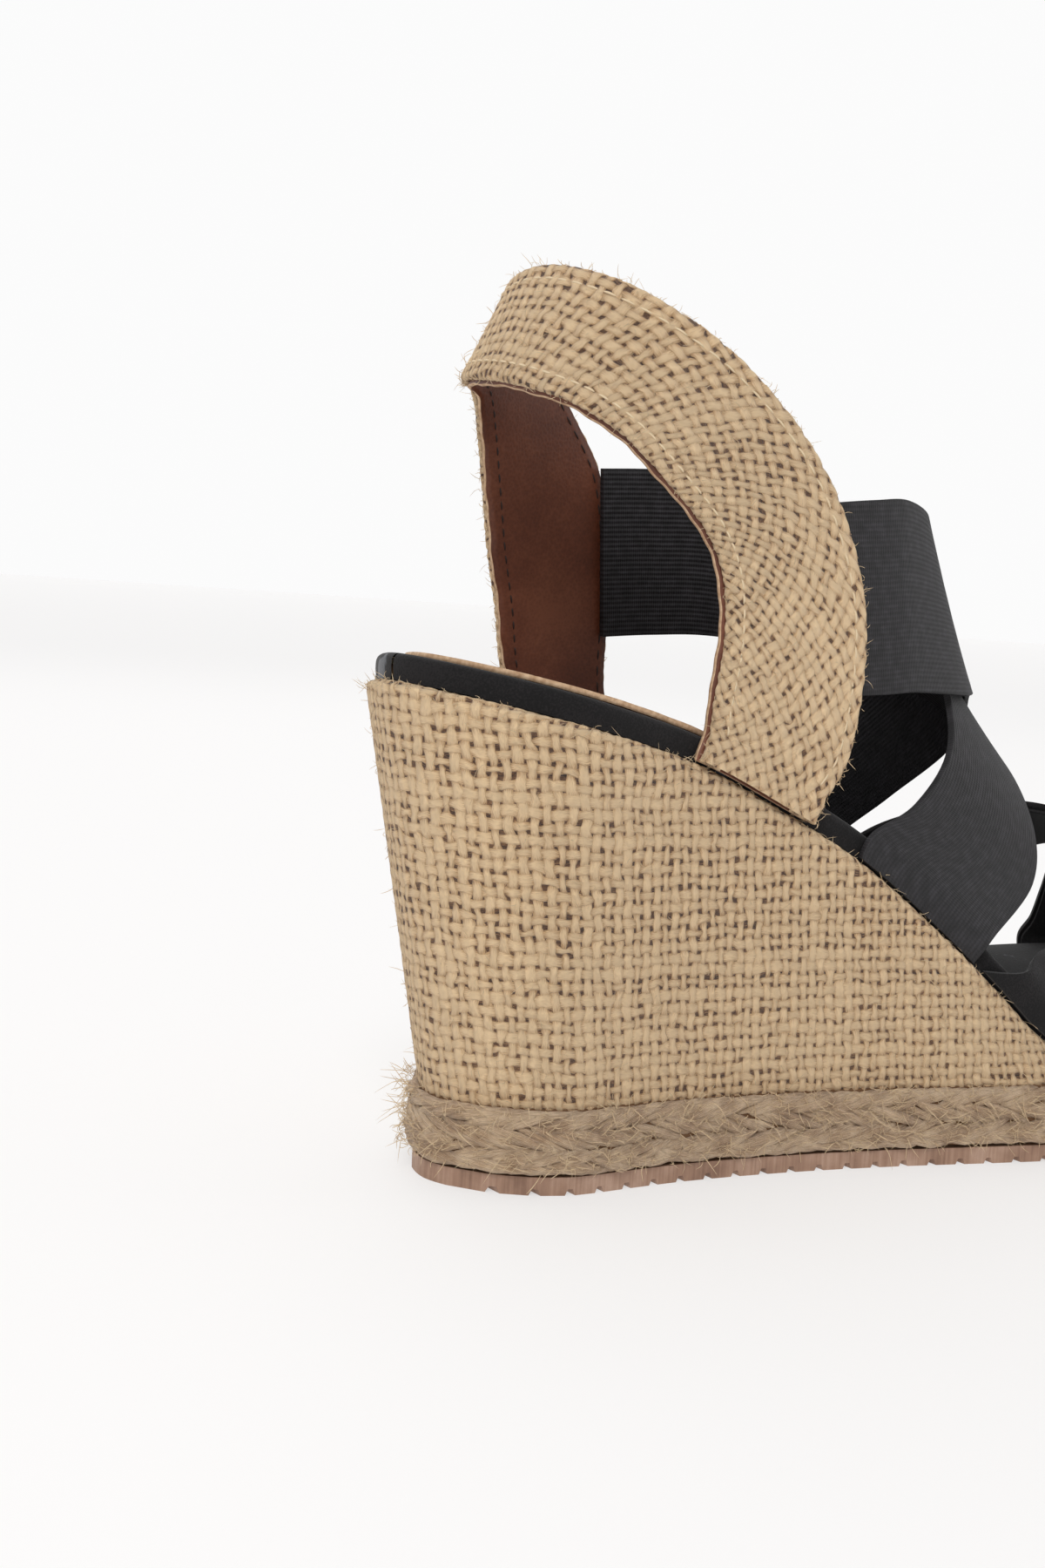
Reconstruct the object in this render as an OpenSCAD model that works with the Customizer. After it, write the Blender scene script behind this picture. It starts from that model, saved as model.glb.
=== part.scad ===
// Wedge sandal, right foot. +X runs to the toe, +Y to the inner side, +Z up.
// The origin is on the ground under the middle of the heel seat.

/* [Wedge] */
// Length of the wedge's top edge, heel to toe
shoe_length = 224; // [185:1:270]
// Width of the wedge's top edge at the ball
ball_width = 85; // [70:0.5:103]
// Height of the wedge's top edge at the back of the heel
heel_height = 94.4; // [60:0.2:115]
// Height of the wedge's top edge at the ball
ball_height = 21.6; // [21:0.1:30]
// How far the heel's foot sits in from its top edge, at the back
heel_rake = 16; // [4:0.5:20]
// How far the toe lifts off the ground
toe_spring = 7; // [0:0.5:12]
// Thickness of the burlap round the wedge
cover_t = 1.2; // [0.6:0.1:2]

/* [Sole] */
// Thickness of the rubber outsole, tread included
sole_t = 3.6; // [3:0.1:6]
// Depth of the tread's grooves
tread_depth = 1.2; // [0.5:0.1:1.8]
// Distance from one tread rib to the next
tread_pitch = 6.4; // [4:0.2:10]
// Height of the jute braid
braid_h = 13.3; // [9:0.1:14]
// Thickness of the jute braid
braid_t = 4; // [2.5:0.1:6]
// How far the outsole reaches past the wedge's foot
sole_reach = 0.6; // [0:0.1:1.5]

/* [Insole] */
// How far the insole sits in from the wedge's top edge
insole_set = 1.8; // [1:0.1:3]
// Thickness of the insole board
board_t = 2; // [1.5:0.1:3.5]
// Thickness of the foam on the board
foam_t = 1.2; // [1:0.1:5]
// Thickness of the suede round board and foam
suede_t = 0.8; // [0.5:0.1:1.5]
// Width of the suede turned under the board
suede_turn = 12; // [6:0.5:18]
// Thickness of the heel pad
pad_t = 1.2; // [0.6:0.1:3]

/* [Fixings] */
// Width of the steel shank
shank_w = 12; // [8:0.5:16]
// Thickness of the steel shank
shank_t = 1.5; // [1:0.1:2]
// Radius of a heel nail's shaft
nail_r = 1; // [0.6:0.1:1.5]
// Length of a heel nail under its head
nail_len = 16; // [10:0.5:24]
// Radius of a lasting tack's shaft
tack_r = 0.6; // [0.4:0.1:0.9]

/* [Upper] */
// Thickness of the folded burlap in the heel sling
sling_t = 1.8; // [1.2:0.1:3]
// Thickness of the leather lining of the sling
lining_t = 0.8; // [0.5:0.1:1.2]
// Thickness of the instep elastics
elastic_t = 1.4; // [0.8:0.1:2]
// Thickness of the toe bands' suede
band_t = 1.3; // [0.8:0.1:2]
// Thickness of the toe bands' lining
band_lining_t = 0.8; // [0.4:0.1:1.2]
// Radius of the sling's fixed ends round the line that it turns about
turn_r = 17; // [16.5:0.5:20]

/* [Hidden] */
OUTER = -1;
INNER = 1;
gap = 0.2;          // between pieces that lie against each other
turn_gap = 0.3;     // between the sling and its fixed ends
stations = 44;      // sections along the shoe
steps = 4;          // sections between two points of a strap
across = 4;         // parts that a strap's width is divided in

// The shape is drawn for these sizes, and follows the sizes above.
drawn_length = 224;
drawn_width = 85;
drawn_heel = 94.4;
drawn_ball = 21.6;
heel_seat = 32;     // from the back of the top edge to the middle of the seat
sx = shoe_length / drawn_length;
sy = ball_width / drawn_width;

// Height of the wedge's top edge along the shoe
PROFILE = [[-32, 94.4], [0, 87.2], [18, 82.6], [33, 76.8], [60, 63.8], [84, 47.1],
    [98, 35.7], [109, 26.4], [118, 22.6], [128, 21.6], [145, 22.6], [165, 24.9], [192, 28]];
// Half widths along the shoe: top edge and foot of the wedge, outer and inner side
TOP_OUT = [[-32, 30.4], [33, 29.8], [60, 32], [84, 35.3], [109, 39.7], [128, 43],
    [145, 43.8], [165, 42], [192, 38]];
TOP_IN = [[-32, 33.4], [-10, 32.8], [15, 31.4], [45, 29.4], [62, 29.8], [84, 32.6], [109, 37.6],
    [132, 41], [150, 41], [165, 39.4], [192, 36]];
FOOT_OUT = [[-32, 20.5], [24, 20.5], [49, 23.3], [75, 28.7], [102, 36.2], [118, 41],
    [132, 42.8], [147, 43], [165, 41.4], [192, 37.4]];
FOOT_IN = [[-32, 24], [0, 22.6], [24, 21.4], [49, 21.8], [70, 25], [90, 30.8], [109, 36],
    [132, 40.4], [150, 40.4], [165, 38.8], [192, 35.4]];
TOP = [TOP_OUT, TOP_IN];
FOOT = [FOOT_OUT, FOOT_IN];
heel_curve = 1.72;  // roundness of the heel's outline
toe_curve = 2.1;    // roundness of the toe's outline
top_heel_r = 32.8;
foot_heel_r = 23;
toe_r = 58;
toe_shift = 6;      // how far the toe's tip leans to the inner side
foot_toe_set = 1.5; // how far the foot of the wedge sits in at the toe

TOP_ENDS = [-heel_seat * sx, (drawn_length - heel_seat) * sx, top_heel_r];
FOOT_ENDS = [TOP_ENDS[0] + heel_rake, TOP_ENDS[1] - foot_toe_set, foot_heel_r];

// Points of the upper: x, y and height, on the inside of each strap
SLING_FRONT = [[54.5, -30.2, 84], [56.6, -30.3, 100], [55, -30.1, 115], [48, -29.3, 131.5],
    [37.5, -28.3, 144.5], [23.5, -27, 155.5], [11.5, -23.6, 162.8], [2.5, -15.5, 168.3],
    [-0.5, 0, 171.5], [1.5, 14.5, 170], [9, 22, 165.5], [17.5, 26.5, 158.5], [27, 28.6, 148.5],
    [36, 30, 137], [40.5, 31.4, 122], [42, 32, 107], [42.8, 32, 90]];
SLING_REAR = [[20, -30.3, 94], [21.3, -30.4, 105], [20.2, -30.2, 116], [15.8, -29.5, 124.5],
    [8, -28, 132], [0, -25.2, 139.3], [-6, -19.5, 144.3], [-10.5, -10.5, 147.5],
    [-12, 0, 149.3], [-10.5, 10.5, 150], [-6.5, 17.5, 150], [-1.2, 22.4, 148.6],
    [3, 26.4, 141.5], [6.5, 29, 131], [9.7, 30.6, 119], [13, 31.6, 108], [15.6, 32, 96]];
SLING_ENDS = [[47, 18.7], [44.5, 17]];          // x of front and rear, outer and inner side
ELASTIC_OUT_TOP = [[47, -26.5, 132], [60, -25.6, 133.6], [73, -21.6, 134.5], [89, -11.5, 132],
    [97, 2, 127], [103, 13.5, 113], [94, 25, 95], [80, 30.5, 78]];
ELASTIC_OUT_LOW = [[54.5, -27.4, 95.5], [66, -27.2, 96], [78, -24.6, 96.5], [103, -14, 95.5],
    [117.5, -1, 94], [126, 9.5, 82.4], [121, 23, 69], [112, 32, 57]];
ELASTIC_OUT_END = [97, 66];                     // x of lower and upper edge, inner side
ELASTIC_IN_TOP = [[34.5, 27.3, 138], [48, 26, 139], [62, 21.6, 139], [78, 13, 134],
    [88, 3.5, 125], [94, -5, 113], [96, -13.5, 99], [90, -23, 85], [76.5, -28.5, 74.5]];
ELASTIC_IN_LOW = [[39, 29.4, 103], [52, 29, 104], [66, 26, 104.5], [88, 21, 102.5],
    [106, 13, 98], [117, 5, 91], [125, -6, 80], [124.5, -16.5, 67], [115.5, -25.5, 56],
    [100.5, -33, 46]];
ELASTIC_IN_END = [60, 90];                      // x of upper and lower edge, outer side
BAND_OUT_REAR = [[109, -34.3, 42], [120, -29.5, 43.5], [132, -22.5, 49], [145, -11, 55.5],
    [156, 1, 57], [166, 12, 53], [173.5, 20, 46], [177, 25.5, 38]];
BAND_OUT_FRONT = [[148, -41, 35], [158, -33, 42], [167, -22, 47.5], [174.5, -9, 50],
    [180, 3, 49.5], [184, 12, 46], [186.5, 17, 41], [187.5, 19.5, 35]];
BAND_OUT_ENDS = [[142, 92], [188, 178]];        // x of front and rear, outer and inner side
band_lean = 6;      // of the outer band's rear edge
BAND_IN_REAR = [[112, 35.5, 49], [124, 31, 60], [138, 21, 66.5], [147, 10, 69],
    [153, -2, 68], [158, -15, 62.5], [163, -26.5, 53], [166, -34, 41]];
BAND_IN_FRONT = [[152, 38, 39], [160, 31.5, 49], [167, 21.5, 57], [173, 9.5, 60.5],
    [178, -3, 59], [181.5, -13.5, 53.5], [184, -20.5, 45], [184.5, -22.5, 37]];
BAND_IN_ENDS = [[104, 147], [167, 184]];        // x of rear and front, inner and outer side

// The sling turns about a line across the shoe, over the middle of its fixed ends.
turn_x = 33 * sx;
turn_z = top_z(turn_x) + 0.4;

insole_h = 2 * suede_t + board_t + foam_t + 2 * gap;
pad_ends = [-24 * sx, 52 * sx, 24];
shank_ends = [-12 * sx, 96 * sx];
NAILS = [[-14, 0], [-4, 12], [-4, -12], [10, 9], [10, -9]];
nail_head_r = 2.4;
nail_head_t = 0.9;
tack_head_r = 1.7;
tack_head_t = 0.6;
tack_len = 1.5;     // in the board, under which the head lies
tack_in = 7;        // from the insole's edge
TACK_X = [24, 40, 66, 84, 104, 128, 160, 172];

// ---- curves ----
function unit(v) = v / norm(v);
function span(p, x, i = 0) = i + 2 >= len(p) || x < p[i + 1][0] ? i : span(p, x, i + 1);
function rise(p, i) =
    let (a = p[max(i - 1, 0)], b = p[min(i + 1, len(p) - 1)]) (b[1] - a[1]) / (b[0] - a[0]);
// A smooth curve through points [x, value]
function along(p, x) =
    let (i = span(p, x), a = p[i], b = p[i + 1], d = b[0] - a[0],
         t = min(max((x - a[0]) / d, 0), 1))
    a[1] * (2 * t^3 - 3 * t^2 + 1) + rise(p, i) * d * (t^3 - 2 * t^2 + t)
    + b[1] * (3 * t^2 - 2 * t^3) + rise(p, i + 1) * d * (t^3 - t^2);
function drawn_z(x) = along(PROFILE, x);
function top_z(x) = ball_height
    + (drawn_z(x / sx) - drawn_ball) * (heel_height - ball_height) / (drawn_heel - drawn_ball);
function lift(x) = toe_spring * (max(x / sx - 96, 0) / 96)^2;
function grade(x) = (top_z(x + 1) - top_z(x - 1)) / 2;
// Vertical height of a layer whose thickness is h across it
function over(x, h) = h * sqrt(1 + grade(x)^2);
function round_end(d, r, n) = d >= r ? 1 : max((1 - (1 - max(d, 0) / r)^n), 0.0004)^(1 / n);
// Distance of the outline from the middle line; out is how far it is set outwards
function half(sides, ends, side, x, out) =
    (along(sides[side == OUTER ? 0 : 1], x / sx) * sy + out)
    * round_end(x - ends[0] + out, ends[2] + out, heel_curve)
    * round_end(ends[1] - x + out, toe_r + out, toe_curve);
function middle(x) = toe_shift * (max(x / sx - 130, 0) / 62)^2;
function edge_y(sides, ends, side, x, out) = side * half(sides, ends, side, x, out)
    + middle(x);
function station(ends, i, out = 0) = let (f = (1 - cos(180 * i / stations)) / 2)
    (ends[0] - out) * (1 - f) + (ends[1] + out) * f;
function bend(p, i, t) =
    let (a = p[max(i - 1, 0)], b = p[i], c = p[i + 1], d = p[min(i + 2, len(p) - 1)])
    b + ((c - a) * t + (2 * a - 5 * b + 4 * c - d) * t^2 + (3 * b - a - 3 * c + d) * t^3) / 2;
function smooth(p) =
    [for (i = [0:len(p) - 2]) for (j = [0:steps - 1]) bend(p, i, j / steps), p[len(p) - 1]];
// A drawn point of the upper, moved with the wedge below it
function place(p) =
    [p[0] * sx, p[1] * sy, p[2] + top_z(p[0] * sx) - drawn_z(p[0])];
function mix(a, b, t) = a * (1 - t) + b * t;
// A strap's end, from the seam between wedge and insole to the insole's upper side.
// An end is [side, x of first edge, x of second edge, distance from the top edge,
// how far the second edge leans forward].
function seat(end, t) =
    let (x = mix(end[1], end[2], t) * sx, over_x = x + end[4] * t,
         up = (insole_h + 4 * gap) * unit([-grade(over_x), 0, 1]), high_x = over_x + up[0])
    [[x, edge_y(TOP, TOP_ENDS, end[0], x, end[3]), top_z(x) + 2 * gap],
     [high_x, edge_y(TOP, TOP_ENDS, end[0], high_x, end[3]), top_z(over_x) + gap + up[2]]];
function turned(list) = [for (i = [len(list) - 1:-1:0]) list[i]];
// A line along a strap, t of its width from the first edge to the second
function rail(first, second, start, end, t) = smooth(concat(
    len(start) == 0 ? [] : seat(start, t),
    [for (i = [0:len(first) - 1]) place(mix(first[i], second[i], t))],
    turned(seat(end, t))));

// ---- solids ----
// A closed skin over sections that have the same even number of points. A hoop's last
// section joins its first, and needs no caps.
module loft(rings, hoop = false) {
    k = len(rings[0]);
    n = len(rings);
    points = [for (r = rings) for (p = r) p];
    sides = [for (i = [0:n - (hoop ? 1 : 2)]) for (j = [0:k - 1])
        let (a = i * k + j, b = i * k + (j + 1) % k,
             c = (i + 1) % n * k + j, d = (i + 1) % n * k + (j + 1) % k,
             flip = hoop && i >= n / 2)
        for (f = (j < k / 2) != flip ? [[a, d, b], [a, c, d]] : [[a, c, b], [b, c, d]]) f];
    last = (n - 1) * k;
    caps = [for (j = [0:k / 2 - 2]) let (a = k - 1 - j, b = a - 1)
        for (f = [[j, j + 1, b], [j, b, a], [last + j, last + b, last + j + 1],
            [last + j, last + a, last + b]]) f];
    polyhedron(points, concat(sides, hoop ? [] : caps));
}
// A body between two outlines. Levels are [sides, ends, out, z function's number, z]
function level_z(l, x) = l[3] == 0 ? l[4] + lift(x) : top_z(x) + over(x, l[4]);
function level_at(l, side, i) = let (x = station(l[1], i, l[2]))
    [x, edge_y(l[0], l[1], side, x, l[2]), level_z(l, x)];
module body(low, high) {
    loft([for (i = [0:stations]) [level_at(low, OUTER, i), level_at(low, INNER, i),
        level_at(high, INNER, i), level_at(high, OUTER, i)]]);
}
function foot(out, z) = [FOOT, FOOT_ENDS, out, 0, z];
function top(out, h) = [TOP, TOP_ENDS, out, 1, h];
module plate(out, low, high) { body(top(out, low), top(out, high)); }
// A band round the shoe, whose section has its corners on the given levels
module around(levels) {
    loft(concat([for (i = [0:stations]) [for (l = levels) level_at(l, OUTER, i)]],
        [for (i = [stations:-1:0]) [for (l = levels) level_at(l, INNER, i)]]), true);
}
// A strap between two edges, from one distance off its inside to another
module strap(first, second, start, end, near, far) {
    rails = [for (j = [0:across]) rail(first, second, start, end, j / across)];
    n = len(rails[0]) - 1;
    function out(i, j) = unit(cross(rails[j][min(i + 1, n)] - rails[j][max(i - 1, 0)],
        rails[min(j + 1, across)][i] - rails[max(j - 1, 0)][i]));
    loft([for (i = [0:n]) concat([for (j = [0:across]) rails[j][i] + out(i, j) * near],
        [for (j = [across:-1:0]) rails[j][i] + out(i, j) * far])]);
}

sole_top = sole_t;
braid_top = sole_t + braid_h;

module outsole() color("#8a6a5c") {
    // Ribs run across the sole: two sections down, two up
    ribs = floor((FOOT_ENDS[1] - 8 - tread_pitch / 4) / tread_pitch);
    first = -floor((tread_pitch / 4 - FOOT_ENDS[0] - 4) / tread_pitch);
    marks = [for (i = [first:ribs]) for (m = [[-0.34, 0], [0.34, 0], [0.42, 1], [0.58, 1]])
        [(i + m[0]) * tread_pitch, m[1] * tread_depth]];
    ends = [FOOT_ENDS[0] - sole_reach, FOOT_ENDS[1] + sole_reach];
    heel = [for (i = [0:8]) ends[0] + (marks[0][0] - ends[0]) * (1 - cos(90 * i / 9))];
    last = marks[len(marks) - 1][0];
    toe = [for (i = [1:9]) last + (ends[1] - last) * sin(90 * i / 9)];
    rows = concat([for (x = heel) [x, 0]], marks, [for (x = toe) [x, 0]]);
    loft([for (r = rows)
        let (x = r[0], a = edge_y(FOOT, FOOT_ENDS, OUTER, x, sole_reach),
             b = edge_y(FOOT, FOOT_ENDS, INNER, x, sole_reach))
        [[x, a, r[1] + lift(x)], [x, b, r[1] + lift(x)],
         [x, b, sole_top - gap / 2 + lift(x)], [x, a, sole_top - gap / 2 + lift(x)]]]);
}
braid_in = 1.5;     // how far the braid reaches in under the wedge
module platform_core() color("#c9b48c")
    body(foot(-braid_in - gap, sole_top), foot(-braid_in - gap, braid_top - gap / 2));
module jute_braid() color("#b39a72") {
    out = braid_t - braid_in;
    around([foot(-braid_in, sole_top), foot(-braid_in, braid_top - gap / 2),
        foot(out - 0.8, braid_top - gap / 2), foot(out, braid_top - 3),
        foot(out, sole_top + 4), foot(out - 0.8, sole_top)]);
}
wedge_low = braid_top + gap / 2;
module shank_shape(grow) {
    n = 24;
    loft([for (i = [0:n])
        let (x = shank_ends[0] - grow + (shank_ends[1] - shank_ends[0] + 2 * grow) * i / n,
             w = shank_w / 2 + grow)
        [[x, -w, top_z(x) - over(x, shank_t + 2 * gap + grow)],
         [x, w, top_z(x) - over(x, shank_t + 2 * gap + grow)],
         [x, w, top_z(x) + over(x, grow == 0 ? -2 * gap : 1)],
         [x, -w, top_z(x) + over(x, grow == 0 ? -2 * gap : 1)]]]);
}
module at_nails() {
    for (n = NAILS) let (x = n[0] * sx)
        translate([x, n[1] * sy, top_z(x) + over(x, suede_t + gap + board_t)])
        rotate([0, -atan(grade(x)), 0]) children();
}
module wedge_core() color("#d8c49a") difference() {
    body(foot(-cover_t - gap, wedge_low), top(-cover_t - gap, -gap));
    shank_shape(gap);
    at_nails() translate([0, 0, -nail_len - board_t]) cylinder(r = nail_r + gap,
        h = nail_len + board_t, $fn = 16);
}
module wedge_cover() color("#cda76f")
    around([foot(-cover_t, wedge_low), top(-cover_t, -gap / 2), top(0, -gap / 2),
        foot(0, wedge_low)]);
module shank() color("#9a9ca0") shank_shape(0);
module at_tacks() {
    for (x = TACK_X) for (side = [OUTER, INNER])
        translate([x * sx, edge_y(TOP, TOP_ENDS, side, x * sx, -insole_set - tack_in),
            top_z(x * sx) + over(x * sx, suede_t + gap)]) rotate([0, -atan(grade(x * sx)), 0])
            children();
}
module insole_board() color("#8f6b45") difference() {
    plate(-insole_set - suede_t - gap, suede_t + gap, suede_t + gap + board_t);
    at_nails() {
        translate([0, 0, -3 * board_t]) cylinder(r = nail_r + gap, h = 4 * board_t, $fn = 16);
        translate([0, 0, -nail_head_t - gap]) cylinder(r = nail_head_r + gap, h = 4, $fn = 16);
    }
    at_tacks() translate([0, 0, -1]) cylinder(r = tack_r + gap / 2, h = tack_len + 1 + gap,
        $fn = 8);
}
module heel_nails() color("#b8b8b4") at_nails() translate([0, 0, -nail_head_t]) {
    cylinder(r = nail_head_r, h = nail_head_t - gap / 2, $fn = 16);
    translate([0, 0, -nail_len + gap]) cylinder(r = nail_r, h = nail_len, $fn = 16);
}
module lasting_tacks() color("#b8b8b4") at_tacks() {
    translate([0, 0, -tack_head_t / 2]) cylinder(r = tack_r, h = tack_len + tack_head_t / 2, $fn = 8);
    translate([0, 0, -tack_head_t]) cylinder(r = tack_head_r, h = tack_head_t - gap / 2, $fn = 12);
}
foam_low = suede_t + board_t + 1.5 * gap;
module footbed_foam() color("#e2dccb")
    plate(-insole_set - suede_t - gap, foam_low, foam_low + foam_t);
module sock_lining() color("#1c1b1c") difference() {
    plate(-insole_set, gap / 2, insole_h);
    plate(-insole_set - suede_t, suede_t, insole_h - suede_t);
    plate(-insole_set - suede_turn, -1, suede_t + board_t / 2);
    at_tacks() translate([0, 0, -2]) cylinder(r = tack_head_r + gap, h = 2.2, $fn = 12);
}
module heel_pad() color("#8a5a3c") {
    low = insole_h + gap;
    out = -insole_set - 2.4;
    n = 30;
    loft([for (i = [0:n])
        let (f = (1 - cos(180 * i / n)) / 2, x = pad_ends[0] * (1 - f) + pad_ends[1] * f,
             c = round_end(pad_ends[1] - x, pad_ends[2], 2)
                 * round_end(x - pad_ends[0], pad_ends[2], heel_curve),
             a = edge_y(TOP, TOP_ENDS, OUTER, max(x, 0), out) * c,
             b = edge_y(TOP, TOP_ENDS, INNER, max(x, 0), out) * c)
        [[x, a, top_z(x) + over(x, low)], [x, b, top_z(x) + over(x, low)],
         [x, b, top_z(x) + over(x, low + pad_t)], [x, a, top_z(x) + over(x, low + pad_t)]]]);
}

// ---- heel sling: one strap over two short fixed ends ----
sling_out = 3 * gap + lining_t - insole_set;    // its inside in the seam, from the top edge
function ends(side, list, out, lean = 0) =
    [concat([side], list[0], [out, lean]), concat([-side], list[1], [out, 0])];
module sling_shape(near, far) {
    e = ends(OUTER, SLING_ENDS, sling_out);
    strap(SLING_FRONT, SLING_REAR, e[0], e[1], near, far);
}
module turn_drum(r) {
    translate([turn_x, 0, turn_z]) rotate([90, 0, 0])
        cylinder(r = r, h = 2 * ball_width, center = true, $fn = 96);
}
module sling_end(side, near, far) {
    intersection() {
        sling_shape(near, far);
        turn_drum(turn_r);
        translate([turn_x, side * ball_width / 2, turn_z])
            cube([4 * turn_r, ball_width, 4 * turn_r], center = true);
    }
}
module sling_free(near, far) {
    difference() {
        sling_shape(near, far);
        turn_drum(turn_r + turn_gap);
    }
}
module sling_tab_outer() color("#d0aa72") sling_end(OUTER, 0, sling_t);
module sling_tab_inner() color("#d0aa72") sling_end(INNER, 0, sling_t);
module tab_lining_outer() color("#8a5a3c") sling_end(OUTER, -lining_t - gap, -gap);
module tab_lining_inner() color("#8a5a3c") sling_end(INNER, -lining_t - gap, -gap);
module sling_strap() color("#d0aa72") sling_free(0, sling_t);
module sling_lining() color("#8a5a3c") sling_free(-lining_t - gap, -gap);

// ---- instep elastics: from the sling's front edge over the foot to the other side ----
elastic_out = gap - insole_set;
module instep_elastic_outer() color("#202022")
    strap(ELASTIC_OUT_LOW, ELASTIC_OUT_TOP, [],
        concat([INNER], ELASTIC_OUT_END, [elastic_out, 0]), 0, elastic_t);
module instep_elastic_inner() color("#202022")
    strap(ELASTIC_IN_TOP, ELASTIC_IN_LOW, [],
        concat([OUTER], ELASTIC_IN_END, [elastic_out, 0]), 0, elastic_t);

// ---- toe bands: crossed over the toes ----
band_out = 3 * gap + band_lining_t - insole_set;
module outer_band(near, far) {
    e = ends(OUTER, BAND_OUT_ENDS, band_out, band_lean);
    strap(BAND_OUT_FRONT, BAND_OUT_REAR, e[0], e[1], near, far);
}
module inner_band(near, far) {
    e = ends(INNER, BAND_IN_ENDS, band_out);
    strap(BAND_IN_REAR, BAND_IN_FRONT, e[0], e[1], near, far);
}
module toe_band_outer() color("#19191a") outer_band(0, band_t);
module toe_band_inner() color("#19191a") inner_band(0, band_t);
module toe_lining_outer() color("#26201e") outer_band(-band_lining_t - gap, -gap);
module toe_lining_inner() color("#26201e") inner_band(-band_lining_t - gap, -gap);

outsole();
platform_core();
jute_braid();
wedge_core();
wedge_cover();
shank();
insole_board();
heel_nails();
lasting_tacks();
footbed_foam();
sock_lining();
heel_pad();
sling_tab_outer();
sling_tab_inner();
tab_lining_outer();
tab_lining_inner();
sling_strap();
sling_lining();
instep_elastic_outer();
instep_elastic_inner();
toe_band_outer();
toe_band_inner();
toe_lining_outer();
toe_lining_inner();
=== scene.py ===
import math
import random

import bmesh
import bpy
from mathutils import Matrix, Vector


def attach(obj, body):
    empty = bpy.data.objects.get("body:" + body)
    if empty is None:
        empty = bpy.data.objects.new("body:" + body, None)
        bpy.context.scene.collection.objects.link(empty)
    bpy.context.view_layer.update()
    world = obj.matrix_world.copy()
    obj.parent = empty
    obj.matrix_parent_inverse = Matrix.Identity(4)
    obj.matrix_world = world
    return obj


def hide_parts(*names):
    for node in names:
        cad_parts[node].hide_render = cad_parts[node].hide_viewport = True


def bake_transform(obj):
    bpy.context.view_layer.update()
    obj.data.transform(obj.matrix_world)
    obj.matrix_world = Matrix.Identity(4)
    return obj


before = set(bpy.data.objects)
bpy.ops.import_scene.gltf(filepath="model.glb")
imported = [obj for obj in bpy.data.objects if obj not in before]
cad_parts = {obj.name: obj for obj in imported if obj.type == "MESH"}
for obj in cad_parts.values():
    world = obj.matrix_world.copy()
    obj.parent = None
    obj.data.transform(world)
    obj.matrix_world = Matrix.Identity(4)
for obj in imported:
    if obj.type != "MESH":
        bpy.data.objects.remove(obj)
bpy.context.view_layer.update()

# ---- View, floor and light ----
# A normal lens low behind the heel's outer side, a pale floor that runs into a pale
# background, and large soft lamps, as in a product studio.
EYE = Vector((-0.2174, -0.3123, 0.1118))
YAW, PITCH, ROLL = (math.radians(a) for a in (34.870, 5.517, 3.859))
forward = Vector((math.sin(YAW) * math.cos(PITCH), math.cos(YAW) * math.cos(PITCH), -math.sin(PITCH)))
level = Vector((math.cos(YAW), -math.sin(YAW), 0))
upright = level.cross(forward)
right = level * math.cos(ROLL) + upright * math.sin(ROLL)
up = upright * math.cos(ROLL) - level * math.sin(ROLL)
camera = bpy.data.objects.new("camera", bpy.data.cameras.new("camera"))
camera.data.sensor_fit = "VERTICAL"
camera.data.sensor_height = 36
camera.data.lens = 46.06
camera.matrix_world = Matrix.Translation(EYE) @ Matrix((right, up, -forward)).transposed().to_4x4()
bpy.context.collection.objects.link(camera)
bpy.context.scene.camera = camera
bpy.context.scene.view_settings.view_transform = "Standard"


def linear(code):
    """An sRGB hex colour as linear RGBA."""
    parts = [int(code[i:i + 2], 16) / 255 for i in (1, 3, 5)]
    return [c / 12.92 if c <= 0.04045 else ((c + 0.055) / 1.055) ** 2.4 for c in parts] + [1]


def finish_of(name, roughness, **constants):
    """A new material with one shader, and the shader's values that are the same all over."""
    material = bpy.data.materials.new(name)
    material.use_nodes = True
    tree = material.node_tree
    shader = tree.nodes["Principled BSDF"]
    shader.inputs["Roughness"].default_value = roughness
    for key, value in constants.items():
        shader.inputs[key.replace("_", " ")].default_value = value
    return material, tree, shader


# Painted board: matt and nearly white, lit from within so that it meets the backdrop unseen.
board, tree, shader = finish_of("painted_floor", 0.9, Emission_Color=linear("#ffffff"),
                                Emission_Strength=0.56)
shader.inputs["Base Color"].default_value = linear("#a2a09f")
bm = bmesh.new()
bmesh.ops.create_grid(bm, x_segments=1, y_segments=1, size=30)
mesh = bpy.data.meshes.new("floor")
bm.to_mesh(mesh)
mesh.materials.append(board)
floor = bpy.data.objects.new("floor", mesh)
bpy.context.collection.objects.link(floor)

# Backdrop: half a dome of evenly lit white cloth, behind the object as the camera sees it.
glow, tree, shader = finish_of("lit_backdrop", 1, Emission_Color=linear("#fafafa"),
                               Emission_Strength=1)
shader.inputs["Base Color"].default_value = linear("#000000")
bm = bmesh.new()
bmesh.ops.create_uvsphere(bm, u_segments=48, v_segments=24, radius=12)
bmesh.ops.bisect_plane(bm, geom=bm.verts[:] + bm.edges[:] + bm.faces[:], plane_co=(0, 0, 0),
                       plane_no=(forward.x, forward.y, 0), clear_inner=True)
bmesh.ops.reverse_faces(bm, faces=bm.faces)
mesh = bpy.data.meshes.new("backdrop")
bm.to_mesh(mesh)
mesh.materials.append(glow)
backdrop = bpy.data.objects.new("backdrop", mesh)
bpy.context.collection.objects.link(backdrop)

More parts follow.
